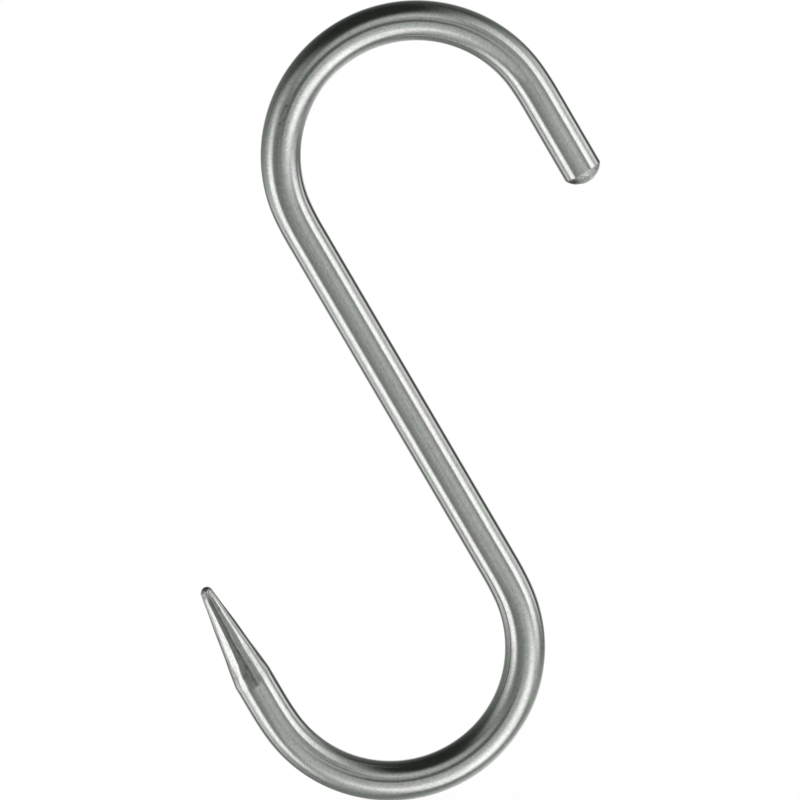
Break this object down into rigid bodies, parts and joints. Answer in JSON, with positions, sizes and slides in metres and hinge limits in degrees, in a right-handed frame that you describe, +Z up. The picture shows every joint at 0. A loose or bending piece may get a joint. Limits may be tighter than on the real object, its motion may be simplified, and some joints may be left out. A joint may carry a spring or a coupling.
{
  "type": "s hook",
  "caption": "S hook bent from round steel bar, with a rail bend and plain rounded end above and a load bend with a ground point below.",
  "frame": {"origin": "rail seat: the highest point inside the upper bend, on the bar's mid-plane", "axes": "+Z up as the hook hangs, +X towards the plain leg, bar in the XZ plane, front to -Y"},
  "size_m": [0.0792, 0.008, 0.16],
  "materials": {
    "steel": "polished along the bar, coarser where the point and the plain end are ground"
  },
  "bodies": {
    "root": {"hook": "steel"}
  },
  "joints": []
}
